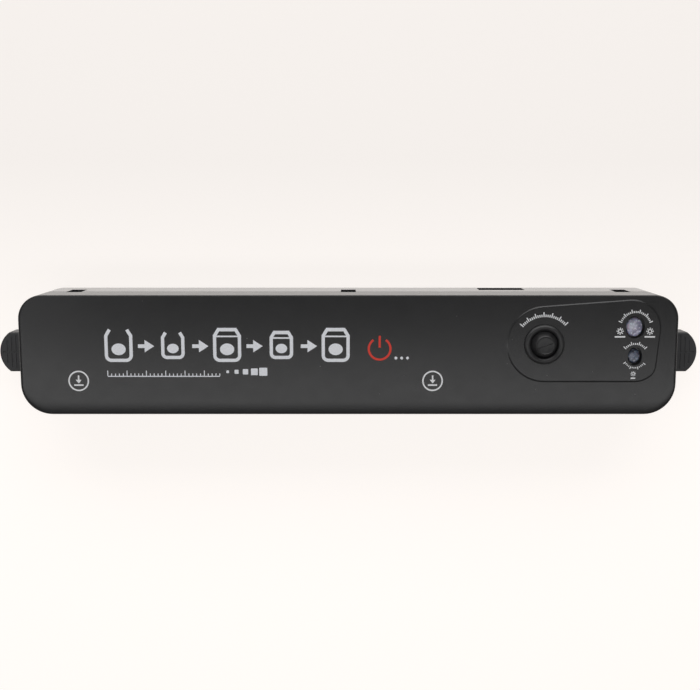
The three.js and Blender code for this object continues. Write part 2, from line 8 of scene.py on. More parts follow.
import bmesh
import bpy
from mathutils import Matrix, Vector


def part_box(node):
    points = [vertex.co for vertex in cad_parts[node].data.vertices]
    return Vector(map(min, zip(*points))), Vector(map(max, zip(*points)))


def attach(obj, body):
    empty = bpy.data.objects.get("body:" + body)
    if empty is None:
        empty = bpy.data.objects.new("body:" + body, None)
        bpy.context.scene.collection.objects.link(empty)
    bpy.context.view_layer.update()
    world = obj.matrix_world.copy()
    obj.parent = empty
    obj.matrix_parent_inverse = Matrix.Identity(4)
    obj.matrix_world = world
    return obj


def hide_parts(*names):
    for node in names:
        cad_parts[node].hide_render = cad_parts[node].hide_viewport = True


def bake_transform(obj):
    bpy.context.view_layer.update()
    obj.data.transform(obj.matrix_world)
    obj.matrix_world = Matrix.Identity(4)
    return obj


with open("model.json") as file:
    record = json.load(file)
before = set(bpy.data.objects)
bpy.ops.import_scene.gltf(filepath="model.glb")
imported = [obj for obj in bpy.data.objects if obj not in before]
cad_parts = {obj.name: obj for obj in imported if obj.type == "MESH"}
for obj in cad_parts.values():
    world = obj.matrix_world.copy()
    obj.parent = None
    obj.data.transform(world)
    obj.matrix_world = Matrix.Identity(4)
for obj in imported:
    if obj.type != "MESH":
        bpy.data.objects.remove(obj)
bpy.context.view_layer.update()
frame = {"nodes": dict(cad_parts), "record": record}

MM = 0.001
TAU = 2 * math.pi


def node_box(name):
    """A frame node's lowest and highest corners, in millimetres."""
    low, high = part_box(name)
    return low / MM, high / MM


def node_centre(name):
    low, high = node_box(name)
    return (low + high) / 2


# Sizes taken from the frame
LID_HIGH = node_box("lid_shell")[1]
HALF_LENGTH = LID_HIGH.x
HALF_DEPTH = LID_HIGH.y
PLATEAU_TOP = LID_HIGH.z
VALVE = node_centre("valve_ring")
VACUUM = node_centre("vacuum_button")
SEAL = node_centre("seal_button")
HINGE = node_centre("hinge_pin_2")
HINGE_XS = [node_centre(f"hinge_pin_{i}").x for i in (1, 2, 3)]
CHAMBER_BOX = frame["record"]["physics"]["openings"][0]["box_m"]
CHAMBER_LOW, CHAMBER_HIGH = (Vector(corner) / MM for corner in CHAMBER_BOX)

# Sizes that the frame's boxes don't give
PLATEAU_RISE = 0.4
FACE = PLATEAU_TOP - PLATEAU_RISE
REAR_CORNER = 12.5
FRONT_CORNER = 16
WALL = 2
BASE_BOTTOM = 2
PARTING = 26
LID_BOTTOM = 26.3
DECK_TOP = 24.8
DECK_BOTTOM = 22.8
CORNER_STEPS = 14
TUB_BOTTOM = 15
TUB_FLOOR = 17
TUB_RIM = 5.5  # from the chamber's mouth to the outside of its rim
GASKET_GROOVE = (1.0, 5.0)  # the groove's edges, from the chamber's mouth
HEATER_FRONT = -27
HEATER_REAR = -20
HEATER_SLOT_HALF = 150.5
HEATER_BED_HALF = 152
TOWER = (124, 155.5, -12, 25.7)  # the pillar under the buttons: x0, x1, y0, y1
TOWER_TOP = 44.5
SWING_CLEARANCE = 8.25  # round the hinge's axis, kept free for the lid's rear edge
PIN_HOLE = 1.55
POCKET_FLOOR = 13.8
POCKET_HALF = 4  # half the width of a hinge pocket
CHEEK_HALF = 7  # from a hinge's middle to the outside of its cheeks
PILOT_HOLE = 1.5
HOOK_SLOT = (156.2, 163.6)  # where an ear's hook passes the deck
INLET_WINDOW_LOW = 5.2
INLET_NECK_LOW = 5.5
EAR_CENTRE_Y = -2
EAR_RADIUS = 13.2
EAR_HALF_WIDTH = 10.7
EAR_LOW, EAR_HIGH = 8.3, 22.3
EAR_GAP = 0.4
EAR_INNER_END = 160.5
EAR_CENTRE_X = node_box("right_release_ear")[1].x - EAR_RADIUS
PRINT_THICKNESS = 0.04
PRINT_STEP = 0.006


# Camera, floor and lights

CAMERA_TILT = math.radians(8.2)
CAMERA_DISTANCE = 537
CAMERA_TARGET = Vector((0.9, 5.4, FACE))
CAMERA_LENS = 53.55

FLOOR_COLOUR = (1.0, 0.955, 0.92)
# Painted light: the floor glows more at the front than at the rear, a painted stand-in for the
# lights' fall-off.
FLOOR_GLOW_REAR = 0.73
FLOOR_GLOW_FRONT = 0.885
WORLD_STRENGTH = 0.16
# Name, place, aim, width, height (metres), power (watts)
LIGHTS = [
    ("rear_softbox", (0.0, 0.75, 0.60), (0, 0, 0.03), 1.4, 0.5, 6),
    ("front_panel", (0.0, -0.14, 0.60), (0, -0.02, 0.04), 1.3, 0.09, 0.72),
    ("left_panel", (-0.42, 0.03, 0.55), (-0.1, 0, 0.04), 0.3, 0.3, 0.12),
]


def make_camera():
    data = bpy.data.cameras.new("camera")
    data.lens = CAMERA_LENS
    data.sensor_width = 36
    camera = bpy.data.objects.new("camera", data)
    forward = Vector((0, -math.sin(CAMERA_TILT), -math.cos(CAMERA_TILT)))
    camera.location = (CAMERA_TARGET - forward * CAMERA_DISTANCE) * MM
    camera.rotation_euler = (-CAMERA_TILT, 0, 0)
    bpy.context.scene.collection.objects.link(camera)
    bpy.context.scene.camera = camera


def area_light(name, place, aim, width, height, power):
    """A soft rectangular light. place, aim, width and height are in metres."""
    data = bpy.data.lights.new(name, "AREA")
    data.shape = "RECTANGLE"
    data.size, data.size_y = width, height
    data.energy = power
    light = bpy.data.objects.new(name, data)
    light.location = place
    light.rotation_euler = (Vector(aim) - Vector(place)).to_track_quat("-Z", "Y").to_euler()
    light.visible_camera = False
    bpy.context.scene.collection.objects.link(light)


def make_stage():
    bm = bmesh.new()
    bmesh.ops.create_grid(bm, x_segments=8, y_segments=8, size=8)
    mesh = bpy.data.meshes.new("floor")
    bm.to_mesh(mesh)
    bm.free()
    floor = bpy.data.objects.new("floor", mesh)
    bpy.context.scene.collection.objects.link(floor)
    graph = Graph("floor_pale")
    along = graph.node("ShaderNodeSeparateXYZ", Vector=graph.place)
    # Painted light: the floor's glow falls from the front to the rear, in place of the lights'
    # fall-off.
    painted_glow = graph.ramp(along.outputs["Y"], -0.03, 0.10, FLOOR_GLOW_FRONT, FLOOR_GLOW_REAR)
    graph.set(Base_Color=shade(FLOOR_COLOUR, 0.28), Roughness=0.9, Specular_IOR_Level=0.1)
    graph.set(Emission_Color=shade(FLOOR_COLOUR, 1), Emission_Strength=painted_glow)
    floor.data.materials.append(graph.material)
    world = bpy.data.worlds.new("studio")
    world.use_nodes = True
    background = world.node_tree.nodes["Background"]
    background.inputs["Color"].default_value = (1.0, 0.98, 0.96, 1)
    background.inputs["Strength"].default_value = WORLD_STRENGTH
    bpy.context.scene.world = world
    for light in LIGHTS:
        area_light(*light)
    bpy.context.scene.view_settings.view_transform = "Standard"


# Outlines: lists of (x, y) points, counter-clockwise

def arc(x, y, radius, start, end, steps, radius_y=None):
    radius_y = radius if radius_y is None else radius_y
    angles = [start + (end - start) * i / steps for i in range(steps + 1)]
    return [(x + radius * math.cos(a), y + radius_y * math.sin(a)) for a in angles]


def oval(x, y, radius_x, radius_y=None, steps=48):
    return arc(x, y, radius_x, 0, TAU, steps, radius_y)[:-1]


def rounded(x0, x1, y0, y1, front, rear=None, steps=CORNER_STEPS):
    rear = front if rear is None else rear
    quarter = math.pi / 2
    return (
        arc(x1 - front, y0 + front, front, -quarter, 0, steps)
        + arc(x1 - rear, y1 - rear, rear, 0, quarter, steps)
        + arc(x0 + rear, y1 - rear, rear, quarter, 2 * quarter, steps)
        + arc(x0 + front, y0 + front, front, 2 * quarter, 3 * quarter, steps)
    )


def case_outline(inset):
    """The case's outline, with its two rounder corners at the front."""
    return rounded(
        -HALF_LENGTH + inset, HALF_LENGTH - inset, -HALF_DEPTH + inset, HALF_DEPTH - inset,
        FRONT_CORNER - inset, REAR_CORNER - inset,
    )


def chamber_outline(offset):
    """An outline that follows the vacuum chamber's mouth at a distance outside it."""
    edge = 0.7 + offset
    x0, x1 = CHAMBER_LOW.x - 4.7 - edge, CHAMBER_HIGH.x + 4.3 + edge
    y0, y1 = CHAMBER_LOW.y - edge, CHAMBER_HIGH.y + edge
    return rounded(x0, x1, y0, y1, max(0.5, 5 + offset), steps=8)


def rim_outline(inset):
    """The outside of the chamber's rim."""
    return chamber_outline(TUB_RIM - inset)


def grown(points, distance):
    """The outline moved outwards by a distance."""
    count = len(points)
    moved = []
    for i, (x, y) in enumerate(points):
        before = Vector(points[i - 1])
        after = Vector(points[(i + 1) % count])
        along = (after - before).normalized()
        moved.append((x + along.y * distance, y - along.x * distance))
    return moved


def thinned(points):
    """The outline without points that lie on their neighbour."""
    least = 0.02
    kept = [points[0]]
    for point in points[1:]:
        if math.dist(point, kept[-1]) > least:
            kept.append(point)
    if math.dist(kept[0], kept[-1]) <= least:
        kept.pop()
    return kept


def plateau_outline():
    """The raised control field: round about the valve, its rear edge rising to the far corner."""
    left, right, front_right, low = 19.5, 160.7, 158.9, -13.7
    rear_radius, front_reach_x, front_reach_y = 15, 11, 8.4
    middle_x = VALVE.x + 0.5
    middle_y = low + left
    slope = math.radians(5.0)
    quarter = math.pi / 2
    rear_corner = (right - rear_radius, 28.6 - rear_radius)
    front_corner = (front_right - front_reach_x, low + front_reach_y)
    points = arc(middle_x, middle_y, left, quarter + slope, 3 * quarter, 40)
    points += arc(*front_corner, front_reach_x, -quarter, 0, CORNER_STEPS, front_reach_y)
    points += arc(*rear_corner, rear_radius, 0, quarter + slope, CORNER_STEPS)
    return thinned(points)


# Solids

def solid(name, bm):
    """An object with the finished mesh."""
    bmesh.ops.recalc_face_normals(bm, faces=bm.faces)
    mesh = bpy.data.meshes.new(name)
    bm.to_mesh(mesh)
    bm.free()
    made = bpy.data.objects.new(name, mesh)
    bpy.context.scene.collection.objects.link(made)
    return made


def vertex_ring(bm, outline, z):
    return [bm.verts.new(Vector((x, y, z)) * MM) for x, y in outline]


def skin(bm, rings):
    """Faces between each ring of vertices and the next. A ring of one vertex is a point."""
    for low, high in zip(rings, rings[1:]):
        for i in range(max(len(low), len(high))):
            lower = [low[i - 1], low[i]] if len(low) > 1 else low
            upper = [high[i], high[i - 1]] if len(high) > 1 else high
            bm.faces.new(lower + upper)


def capped(name, bm, rings):
    """A closed solid through the rings, with a face on each end."""
    bm.faces.new(rings[0])
    bm.faces.new(rings[-1])
    skin(bm, rings)
    return solid(name, bm)


def loft(name, layers):
    """A closed solid through layers of (outline, z), which all have as many points."""
    bm = bmesh.new()
    return capped(name, bm, [vertex_ring(bm, outline, z) for outline, z in layers])


def block(name, x0, x1, y0, y1, z0, z1, edge=0.0):
    """A box with rounded upright corners and soft top and bottom edges."""
    if not edge:
        return loft(name, [([(x0, y0), (x1, y0), (x1, y1), (x0, y1)], z) for z in (z0, z1)])
    corner = max(edge, 0.01)

    def outline(inset):
        radius = max(corner - inset, 0.005)
        return rounded(x0 + inset, x1 - inset, y0 + inset, y1 - inset, radius, steps=3)

    angles = (0, 0.52, 1.05, math.pi / 2)
    rims = [(edge * (1 - math.sin(a)), edge * (1 - math.cos(a))) for a in angles]
    layers = [(outline(inset), z0 + rise) for inset, rise in rims]
    layers += [(outline(inset), z1 - rise) for inset, rise in reversed(rims)]
    return loft(name, layers)


def fillet_layers(outline_at, z, radius, upwards, steps=5):
    """Layers of a rounded edge at height z, from the wall to the flat (upwards) or back."""
    layers = []
    for i in range(steps + 1):
        angle = math.pi / 2 * i / steps
        inset = radius * (1 - math.cos(angle))
        rise = radius * math.sin(angle)
        layers.append((outline_at(inset), z - radius + rise if upwards else z + radius - rise))
    return layers if upwards else layers[::-1]


def turned(name, profile, centre, steps=72):
    """A solid of revolution about +Z. The profile's (radius, z) points start and end on the axis,
    or close on themselves."""
    bm = bmesh.new()
    rings = []
    for radius, z in profile:
        ring = oval(centre.x, centre.y, radius, steps=steps) if radius else [centre.xy]
        rings.append(vertex_ring(bm, ring, z))
    if profile[0][0] > 0:
        rings.append(rings[0])
    skin(bm, rings)
    return solid(name, bm)


def ring_sweep(name, outline_at, profile):
    """A closed ring whose section is a closed profile of (offset, z) points."""
    bm = bmesh.new()
    rings = [vertex_ring(bm, outline_at(offset), z) for offset, z in profile]
    skin(bm, rings + rings[:1])
    return solid(name, bm)


def gasket_groove(low, high):
    near, far = GASKET_GROOVE
    section = [(near, low), (far, low), (far, high), (near, high)]
    return ring_sweep("groove", chamber_outline, section)


def pillar(name, centre, radius, low, high, radius_y=None, steps=48):
    """A round or oval rod along Z."""
    outline = oval(centre.x, centre.y, radius, radius_y, steps)
    return loft(name, [(outline, low), (outline, high)])


def pilots(screws, low, high):
    """Cutters for the holes that the screws bite into."""
    return [pillar("pilot", node_centre(name), PILOT_HOLE, low, high, steps=24) for name in screws]


def laid(piece, axis, x, y, z):
    """Turns a piece that stands on the origin so that it runs from (x, y, z) along X or Y."""
    for vertex in piece.data.vertices:
        first, second, along = vertex.co / MM
        shift = (along, first, second) if axis == "X" else (first, along, second)
        vertex.co = Vector((x + shift[0], y + shift[1], z + shift[2])) * MM
    return piece


def rod_x(name, x0, x1, y, z, radius, steps=32):
    return laid(pillar(name, Vector(), radius, 0, x1 - x0, steps=steps), "X", x0, y, z)


def rod_y(name, y0, y1, x, z, radius, steps=32):
    return laid(pillar(name, Vector(), radius, 0, y1 - y0, steps=steps), "Y", x, y0, z)


def node_block(name, node, edge):
    """A soft-edged box that fills a frame node's box."""
    low, high = node_box(node)
    return block(name, low.x, high.x, low.y, high.y, low.z, high.z, edge=edge)


def bake(target):
    graph = bpy.context.evaluated_depsgraph_get()
    mesh = bpy.data.meshes.new_from_object(target.evaluated_get(graph))
    target.modifiers.clear()
    target.data = mesh


def combine(target, tools, operation):
    for tool in tools:
        step = target.modifiers.new(operation.lower(), "BOOLEAN")
        step.operation = operation
        step.solver = "EXACT"
        step.object = tool
    bake(target)
    for tool in tools:
        bpy.data.objects.remove(tool)
    return target


def cut(target, *tools):
    return combine(target, tools, "DIFFERENCE")


def join(target, *tools):
    return combine(target, tools, "UNION")


def finish_piece(piece, body, slot, *nodes, look=None, sharp=32):
    """Sets a piece's shading and its material from the slot, puts it on its body, and hides the
    frame nodes that it stands for.
    Its material is the slot's own unless look names another."""
    mesh = piece.data
    mesh.materials.clear()
    mesh.materials.append(MATERIALS[look or slot])
    mesh.shade_smooth()
    mesh.set_sharp_from_angle(angle=math.radians(sharp))
    weighted = piece.modifiers.new("normals", "WEIGHTED_NORMAL")
    weighted.keep_sharp = True
    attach(piece, body)
    if nodes:
        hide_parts(*nodes)
    return piece


# Materials

class Graph:
    """A short way to add nodes to a material's tree, in the object's own coordinates."""

    def __init__(self, name):
        self.material = bpy.data.materials.new(name)
        self.material.use_nodes = True
        self.tree = self.material.node_tree
        self.shader = self.tree.nodes["Principled BSDF"]
        self.place = self.tree.nodes.new("ShaderNodeTexCoord").outputs["Object"]

    def node(self, kind, **inputs):
        made = self.tree.nodes.new(kind)
        for name, value in inputs.items():
            self.put(made.inputs[name.replace("_", " ")], value)
        return made

    def put(self, socket, value):
        if isinstance(value, bpy.types.NodeSocket):
            self.tree.links.new(value, socket)
        else:
            socket.default_value = value

    def noise(self, size, detail=2, place=None):
        """Noise whose features are about size millimetres across."""
        return self.node(
            "ShaderNodeTexNoise", Vector=place or self.place, Scale=1 / (size * MM), Detail=detail,
        ).outputs["Fac"]

    def ramp(self, value, low, high, low_value=0.0, high_value=1.0):
        return self.node(
            "ShaderNodeMapRange", Value=value, From_Min=low, From_Max=high, To_Min=low_value,
            To_Max=high_value,
        ).outputs["Result"]

    def mix(self, amount, first, second):
        made = self.tree.nodes.new("ShaderNodeMix")
        made.data_type = "RGBA"
        self.put(made.inputs[0], amount)
        self.put(made.inputs[6], first)
        self.put(made.inputs[7], second)
        return made.outputs[2]

    def product(self, first, second):
        made = self.node("ShaderNodeMath", Value=first)
        made.operation = "MULTIPLY"
        self.put(made.inputs[1], second)
        return made.outputs[0]

    def bump(self, height, strength, depth):
        """depth is in millimetres."""
        made = self.node("ShaderNodeBump", Height=height, Strength=strength, Distance=depth * MM)
        return made.outputs["Normal"]

    def set(self, **inputs):
        for name, value in inputs.items():
            self.put(self.shader.inputs[name.replace("_", " ")], value)


def shade(colour, factor):
    return (*[c * factor for c in colour], 1)


def moulded_plastic(name, colour, roughness, grain=0.45, dust=True, coat=0.0):
    """Textured moulded plastic: a spark-eroded grain, faint mottling, and a little dust."""
    graph = Graph(name)
    mottle = graph.noise(18, detail=4)
    fine = graph.noise(grain, detail=3)
    base = graph.mix(graph.ramp(mottle, 0.35, 0.65), shade(colour, 0.94), shade(colour, 1.06))
    base = graph.mix(graph.ramp(fine, 0.45, 0.75, 0, 0.25), base, shade(colour, 1.7))
    if dust:
        specks = graph.node("ShaderNodeTexVoronoi", Vector=graph.place, Scale=1 / (5.5 * MM))
        near = graph.ramp(specks.outputs["Distance"], 0.018, 0.045, 1, 0)
        rare = graph.ramp(graph.noise(9, detail=0), 0.52, 0.6)
        base = graph.mix(graph.product(near, rare), base, (0.22, 0.22, 0.215, 1))
    coarse_rough = graph.noise(7, detail=3)
    rough = graph.ramp(coarse_rough, 0.3, 0.7, roughness - 0.01, roughness + 0.02)
    graph.set(Base_Color=base, Roughness=rough, Coat_Weight=coat, Coat_Roughness=0.25)
    graph.set(Normal=graph.bump(fine, 0.15, 0.05))
    return graph.material


def soft_rubber(name, colour, roughness=0.75):
    graph = Graph(name)
    cloud = graph.noise(3, detail=4)
    base = graph.mix(graph.ramp(cloud, 0.35, 0.65), shade(colour, 0.8), shade(colour, 1.25))
    rough = graph.ramp(cloud, 0.3, 0.7, roughness - 0.08, roughness + 0.08)
    graph.set(Base_Color=base, Roughness=rough)
    graph.set(Normal=graph.bump(graph.noise(0.3, detail=2), 0.25, 0.04))
    return graph.material


def foam(name, colour):
    """Closed-cell foam: small cells that dent the surface."""
    graph = Graph(name)
    cells = graph.node("ShaderNodeTexVoronoi", Vector=graph.place, Scale=1 / (0.5 * MM))
    depth = cells.outputs["Distance"]
    base = graph.mix(graph.ramp(depth, 0.1, 0.7), shade(colour, 1.2), shade(colour, 0.75))
    graph.set(Base_Color=base, Roughness=graph.ramp(depth, 0, 1, 0.95, 0.8))
    graph.set(Normal=graph.bump(depth, 0.5, 0.12))
    return graph.material


def light_guide(name, colour, bright, centre, reach):
    """Cast translucent plastic: cloudy, with painted light that makes it paler round the lamp
    below, glossy on top.
    """
    graph = Graph(name)
    lamp = Vector((centre.x - 1.2, centre.y + 0.4, 0)) * MM
    flat = graph.node("ShaderNodeVectorMath", Vector=graph.place)
    flat.operation = "MULTIPLY"
    flat.inputs[1].default_value = (1, 1, 0)
    away = graph.node("ShaderNodeVectorMath", Vector=flat.outputs["Vector"])
    away.operation = "DISTANCE"
    away.inputs[1].default_value = lamp
    # Painted light: the colour pales towards the lamp's place, as if lit from below; no lamp is
    # there.
    painted_glow = graph.ramp(away.outputs["Value"], 0.4 * MM, reach * MM, 0.75, 0)
    cloud = graph.noise(2.4, detail=5)
    base = graph.mix(graph.ramp(cloud, 0.36, 0.66), shade(colour, 0.55), shade(colour, 1.35))
    base = graph.mix(painted_glow, base, shade(bright, 1))
    swirl = graph.ramp(graph.noise(1.3, detail=3), 0.54, 0.62, 0, 0.75)
    base = graph.mix(swirl, base, shade(bright, 1.15))
    graph.set(Base_Color=base, Roughness=graph.ramp(cloud, 0.3, 0.7, 0.16, 0.34))
    graph.set(Subsurface_Weight=0.25, Subsurface_Scale=0.001, Coat_Weight=0.4, Coat_Roughness=0.1)
    graph.set(Normal=graph.bump(graph.noise(1.2), 0.2, 0.06))
    return graph.material


def metal(name, colour):
    """Drawn or stamped metal with fine lines along Y."""
    graph = Graph(name)
    stretch = graph.node("ShaderNodeMapping", Vector=graph.place, Scale=(1, 0.05, 1))
    lines = graph.noise(0.25, detail=3, place=stretch.outputs["Vector"])
    base = graph.mix(graph.ramp(lines, 0.3, 0.7), shade(colour, 0.82), shade(colour, 1.1))
    graph.set(Base_Color=base, Metallic=1.0)
    graph.set(Roughness=graph.ramp(lines, 0.3, 0.7, 0.22, 0.42))
    graph.set(Normal=graph.bump(lines, 0.15, 0.02))
    return graph.material


def ink(name, colour):
    """Screen-printed ink: slightly uneven cover and a soft sheen."""
    graph = Graph(name)
    cover = graph.noise(0.8, detail=4)
    base = graph.mix(graph.ramp(cover, 0.3, 0.7), shade(colour, 0.88), shade(colour, 1))
    graph.set(Base_Color=base, Roughness=graph.ramp(cover, 0.3, 0.7, 0.42, 0.58))
    graph.set(Normal=graph.bump(graph.noise(0.4), 0.2, 0.02))
    return graph.material


def circuit_board(name, colour):
    """Solder mask over copper tracks, drawn as a broken grid."""
    graph = Graph(name)
    brick = graph.node(
        "ShaderNodeTexBrick", Vector=graph.place, Scale=1 / (9 * MM), Mortar_Size=0.035,
        Color1=shade(colour, 0.9), Color2=shade(colour, 1.1), Mortar=shade(colour, 2.2),
    )
    patch = graph.ramp(graph.noise(12), 0.45, 0.55)
    base = graph.mix(patch, shade(colour, 1), brick.outputs["Color"])
    graph.set(Base_Color=base, Roughness=graph.ramp(graph.noise(2), 0.3, 0.7, 0.3, 0.45))
    graph.set(Normal=graph.bump(brick.outputs["Fac"], 0.3, 0.03))
    return graph.material


def woven_tape(name, colour):
    """Glass cloth coated with PTFE."""
    graph = Graph(name)
    threads = []
    for axis in ("X", "Y"):
        wave = graph.node("ShaderNodeTexWave", Vector=graph.place, Scale=1 / (3.2 * MM))
        wave.bands_direction = axis
        threads.append(wave.outputs["Fac"])
    weave = graph.product(*threads)
    base = graph.mix(weave, shade(colour, 0.75), shade(colour, 1.2))
    graph.set(Base_Color=base, Roughness=graph.ramp(weave, 0, 1, 0.5, 0.35))
    graph.set(Normal=graph.bump(weave, 0.3, 0.05))
    return graph.material


def make_materials():
    colours = {m["slot"]: m["base_color"][:3] for m in frame["record"]["materials"]}
    # Painted shade: lid and base are one plastic, but the lid's copy is darker (0.38 against 0.6),
    # a painted stand-in for the light falling differently on them.
    lid_black_painted_shade, case_black = (shade(colours["case_black"], part)[:3] for part in (0.38, 0.6))
    ear_black = shade(colours["ear_black"], 1.25)[:3]
    dark, pale = colours["dark_part"], colours["pale_part"]
    violet, blue = colours["lens_violet"], colours["lens_blue"]
    return {
        "lid_black_painted_shade": moulded_plastic("lid_black_painted_shade", lid_black_painted_shade, 0.25, coat=0.1),
        "case_black": moulded_plastic("case_black", case_black, 0.23, coat=0.7),
        "ear_black": moulded_plastic("ear_black", ear_black, 0.43, grain=0.35, dust=False),
        "rubber": soft_rubber("rubber", colours["rubber"]),
        "gasket": foam("gasket", colours["gasket"]),
        "valve_trim": soft_rubber("valve_trim", colours["rubber"], 0.36),
        "lens_violet": light_guide("lens_violet", violet, (0.64, 0.66, 0.72), VACUUM, 3.6),
        "lens_blue": light_guide("lens_blue", blue, (0.24, 0.27, 0.34), SEAL, 1.8),
        "steel": metal("steel", colours["steel"]),
        "brass": metal("brass", colours["brass"]),
        "board": circuit_board("board", colours["board"]),
        "tape": woven_tape("tape", colours["tape"]),
        "dark_part": moulded_plastic("dark_part", dark, 0.42, grain=0.3, dust=False),
        "pale_part": moulded_plastic("pale_part", pale, 0.5, grain=0.6, dust=False),
        "silver_ink": ink("silver_ink", (0.93, 0.95, 1.0)),
        "pale_ink": ink("pale_ink", (0.95, 0.96, 0.98)),
        "red_ink": ink("red_ink", (0.80, 0.045, 0.025)),
    }


MATERIALS = make_materials()


# Lid

BOSS_SCREWS = [f"lid_screw_{i}" for i in (1, 2, 3, 4)]
COVER_SCREWS = [f"cover_screw_{i}" for i in (1, 2, 3, 4)]
ROOF = FACE - WALL + 0.1


def button_hole(name, centre, radius_x, radius_y):
    """A cutter that leaves a rounded lip round an oval hole."""
    lip, steps = 0.35, 4

    def outline(spread):
        return oval(centre.x, centre.y, radius_x + spread, radius_y + spread)

    layers = [(outline(0), z) for z in (40, PLATEAU_TOP - lip)]
    for i in range(1, steps + 1):
        angle = math.pi / 2 * i / steps
        height = PLATEAU_TOP - lip + lip * math.sin(angle)
        layers.append((outline(lip * (1 - math.cos(angle))), height))
    layers.append((outline(lip + 0.1), PLATEAU_TOP + 1))
    return loft(name, layers)


# How the face falls away to its front, side and rear edges: insets, then the drop
FACE_RIM = [
    (0, 0, 0, 0.95), (0.12, 0.1, 0.03, 0.68), (0.4, 0.3, 0.08, 0.5),
    (1.0, 0.55, 0.15, 0.36), (2.2, 0.85, 0.22, 0.24), (3.5, 1.15, 0.29, 0.145),
    (4.9, 1.5, 0.36, 0.075), (6.5, 1.9, 0.43, 0.02), (8.5, 2.4, 0.5, 0),
]


def face_outline(front, side, rear):
    return rounded(
        -HALF_LENGTH + side, HALF_LENGTH - side, -HALF_DEPTH + front, HALF_DEPTH - rear,
        FRONT_CORNER - min(front, 4), REAR_CORNER - side,
    )


def lid_body():
    """The lid's hollow shell. Its lower rear edge is cut back to clear the base as it swings."""
    layers = fillet_layers(case_outline, LID_BOTTOM, 0.25, upwards=False, steps=3)
    for front, side, rear, drop in FACE_RIM:
        layers.append((face_outline(front, side, rear), FACE - drop))

    def inside(inset):
        return case_outline(WALL + inset)

    inner = [(case_outline(WALL), LID_BOTTOM - 1)]
    inner += fillet_layers(inside, FACE - WALL, 1.2, upwards=True, steps=4)
    relief = rod_x("relief", -200, 200, HINGE.y, HINGE.z, SWING_CLEARANCE, steps=64)
    return cut(loft("lid_case", layers), loft("cavity", inner), relief)


def hinge_arm(x):
    """An arm that hangs from the lid's rear wall, with an eye round the hinge's pin."""
    half, eye_radius = 3.7, 3.5
    arm = block("arm", x - half, x + half, HINGE.y + 0.2, 29.4, HINGE.z, PARTING + 8)
    return join(arm, rod_x("eye", x - half, x + half, HINGE.y, HINGE.z, eye_radius, steps=48))


def boss(centre):
    """A screw boss under the lid's roof, with a flared root."""
    top = FACE - WALL
    profile = [(0, 31.3), (3.2, 31.3), (3.2, top - 0.8), (4, top + 0.1), (0, top + 0.1)]
    return turned("boss", profile, centre, steps=32)


def make_lid():
    lid = lid_body()
    field = plateau_outline()
    # The control field's sloping edge: how far out, and how high above the face
    steps = [(0.5, -0.8), (0.5, -0.02), (0.3, 0.06), (0, 0.22), (-0.25, 0.34), (-0.5, PLATEAU_RISE)]
    added = [loft("field", [(grown(field, out), FACE + rise) for out, rise in steps])]
    added += [hinge_arm(x) for x in HINGE_XS]
    added += [boss(node_centre(screw)) for screw in BOSS_SCREWS]
    added += [block("catch", x - 2.6, x + 2.6, -6, 2, 26.6, 28.4) for x in (-166.1, 166.1)]
    x, y = node_centre("lid_plunger").xy
    added.append(block("rib", x - 1, x + 1, y - 3, y + 1.6, 26.6, ROOF))
    # A hollow box that holds the sealing pad over the heater
    half, front, rear, thick = HEATER_BED_HALF, -27.6, -19.6, 1.5
    carrier = block("carrier", -half, half, front, rear, 29.4, ROOF)
    half -= thick
    core = block("core", -half, half, front + thick, rear - thick, 28.4, ROOF - 0.05)
    added.append(cut(carrier, core))
    join(lid, *added)
    holes = [
        pillar("valve_hole", VALVE, 8.2, 44, 49, steps=72),
        button_hole("vacuum_hole", VACUUM, 4.85, 5.85),
        button_hole("seal_hole", SEAL, 3.5, 4.7),
    ]
    holes += [rod_x("pin_hole", x - 5, x + 5, HINGE.y, HINGE.z, PIN_HOLE) for x in HINGE_XS]
    for x in HINGE_XS:
        x0, x1 = x - POCKET_HALF, x + POCKET_HALF
        holes.append(block("arm_notch", x0, x1, 29.6, HALF_DEPTH + 1, PARTING, 29.4))
    cut(lid, *holes, *pilots(BOSS_SCREWS, 30, 41))
    finish_piece(lid, "lid", "case_black", "lid_shell", look="lid_black_painted_shade")


def make_lid_plate():
    """The plate over the chamber, with a groove for the gasket."""
    low, high = (corner.z for corner in node_box("lid_inner_plate"))
    layers = fillet_layers(rim_outline, low, 0.4, upwards=False, steps=3)
    layers += fillet_layers(rim_outline, high, 0.3, upwards=True, steps=3)
    plate = loft("lid_plate", layers)
    air_hole = pillar("air_hole", VALVE, 2.8, 20, 40)
    cut(plate, gasket_groove(low - 1, 28.9), air_hole, *pilots(BOSS_SCREWS, 20, 40))
    finish_piece(plate, "lid", "case_black", "lid_inner_plate")


# Base

def ear_window(side):
    """The opening in the base's end wall that an ear slides through."""
    x0, x1 = sorted((side * (HALF_LENGTH - WALL - 2), side * (HALF_LENGTH + 1)))
    half = EAR_HALF_WIDTH + EAR_GAP
    y0, y1 = EAR_CENTRE_Y - half, EAR_CENTRE_Y + half
    return block("window", x0, x1, y0, y1, EAR_LOW - EAR_GAP, EAR_HIGH + EAR_GAP, edge=0.6)


def base_body():
    """The base's outer wall with its deck across it."""
    layers = fillet_layers(case_outline, BASE_BOTTOM, 0.9, upwards=False, steps=5)
    layers += fillet_layers(case_outline, PARTING, 0.25, upwards=True, steps=3)
    under = loft("under", [(case_outline(WALL), z) for z in (BASE_BOTTOM - 1, DECK_BOTTOM)])
    over = loft("over", [(case_outline(WALL), z) for z in (DECK_TOP, PARTING + 1)])
    return cut(loft("base_case", layers), under, over)


def tower_outline(inset):
    x0, x1, y0, y1 = TOWER
    return rounded(x0 + inset, x1 - inset, y0 + inset, y1 - inset, 3 - inset / 2, steps=6)


